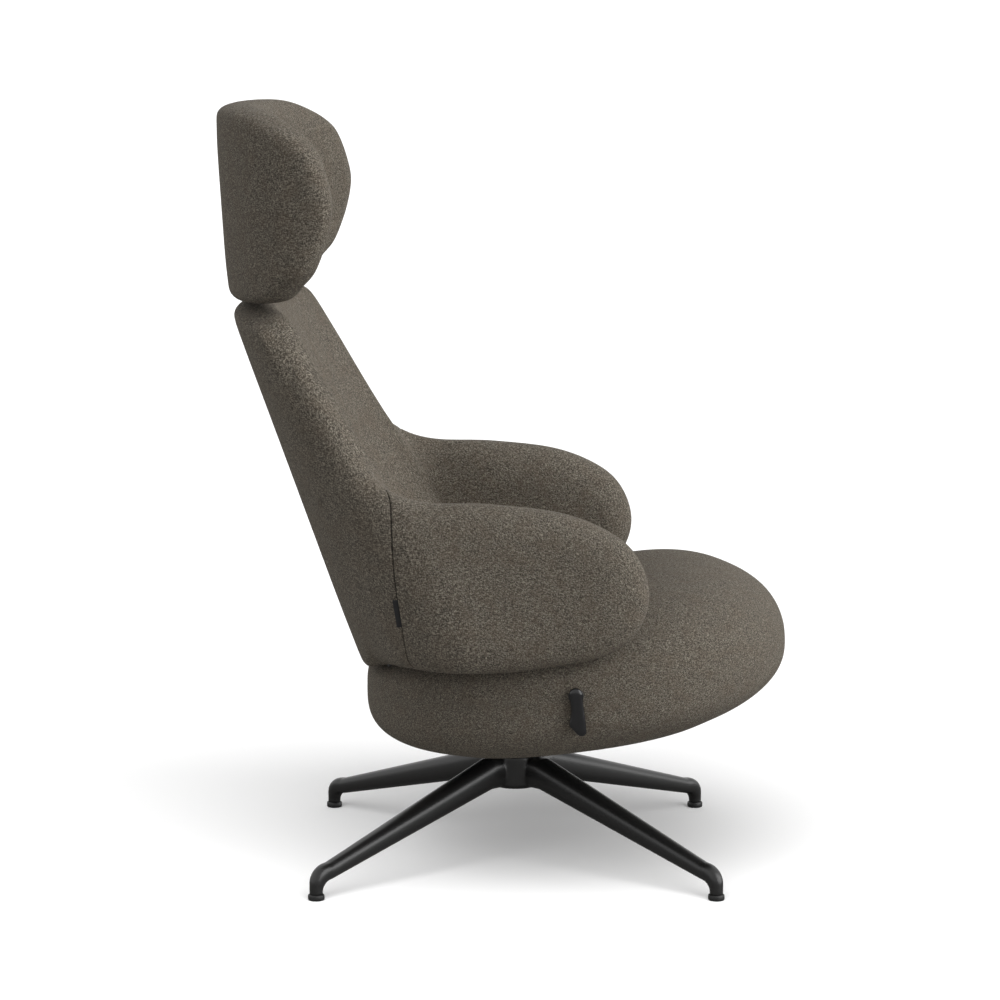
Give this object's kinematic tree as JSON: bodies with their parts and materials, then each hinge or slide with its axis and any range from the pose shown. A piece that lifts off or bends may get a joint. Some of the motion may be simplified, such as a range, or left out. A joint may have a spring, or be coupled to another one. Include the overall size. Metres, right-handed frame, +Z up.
{
  "type": "high back easy chair",
  "caption": "High back easy chair on a swivel star base, with a lockable tilt, one-piece wrap back and arms, and a sliding winged head pillow.",
  "frame": {"origin": "on the swivel axis, at floor level", "axes": "+Z up, +X forwards (the way the sitter faces), +Y to the sitter's left"},
  "size_m": [0.803, 0.7638, 1.081],
  "materials": {
    "charcoal_coat": "satin powder coat, near black",
    "steel": "plain bright steel",
    "zinc": "zinc plated",
    "nylon": "natural nylon",
    "black_plastic": "matt black",
    "gloss_black": "smooth black",
    "plywood": "moulded plywood",
    "melange_wool": "woven wool melange, warm dark grey with fine light and dark flecks",
    "black_tape": "blank black woven tape"
  },
  "bodies": {
    "base": {"base_star": "charcoal_coat", "foot_glides": "black_plastic", "column_tube": "charcoal_coat", "lower_bush": "nylon", "upper_bush": "nylon", "thrust_washer": "zinc", "hub_cap": "black_plastic"},
    "swivel": {"spindle": "steel", "spindle_clip": "zinc", "spindle_nut": "zinc", "tilt_housing": "charcoal_coat", "tilt_axle": "steel", "axle_clips": "zinc", "tilt_spring": "zinc"},
    "seat": {"axle_bushes": "nylon", "seat_bracket": "charcoal_coat", "pan_bolts": "zinc", "tilt_lock": "black_plastic", "lock_cable": "black_plastic", "seat_pan": "plywood", "seat_cushion": "melange_wool", "back_frame": "charcoal_coat", "frame_feet": "steel", "frame_bolts": "zinc", "back_cushion": "melange_wool", "arm_left": "melange_wool", "arm_right": "melange_wool", "headrest_guides": "nylon", "lever_bezel": "black_plastic", "lever_bracket": "steel", "seam_tab": "black_tape"},
    "headrest": {"headrest_stems": "steel", "headrest_core": "plywood", "headrest_cushion": "melange_wool"},
    "lever": {"lever_pin": "steel", "lever_handle": "gloss_black"}
  },
  "joints": [
    {"name": "swivel", "type": "hinge", "parent": "base", "child": "swivel", "pos_m": [0, 0, 0.176], "axis": [0, 0, 1], "continuous": true},
    {"name": "tilt", "type": "hinge", "parent": "swivel", "child": "seat", "pos_m": [0, 0, 0.222], "axis": [0, -1, 0], "range_deg": [0, 10], "stiffness_Nm_per_rad": 150, "springref_deg": -17.19, "deforming": ["tilt_spring"]},
    {"name": "headrest_height", "type": "slide", "parent": "seat", "child": "headrest", "axis": [-0.3486, 0, 0.9373], "range_m": [0, 0.06]},
    {"name": "lever_turn", "type": "hinge", "parent": "seat", "child": "lever", "pos_m": [0.08, -0.34, 0.298], "axis": [0, -1, 0], "range_deg": [0, 25]}
  ]
}
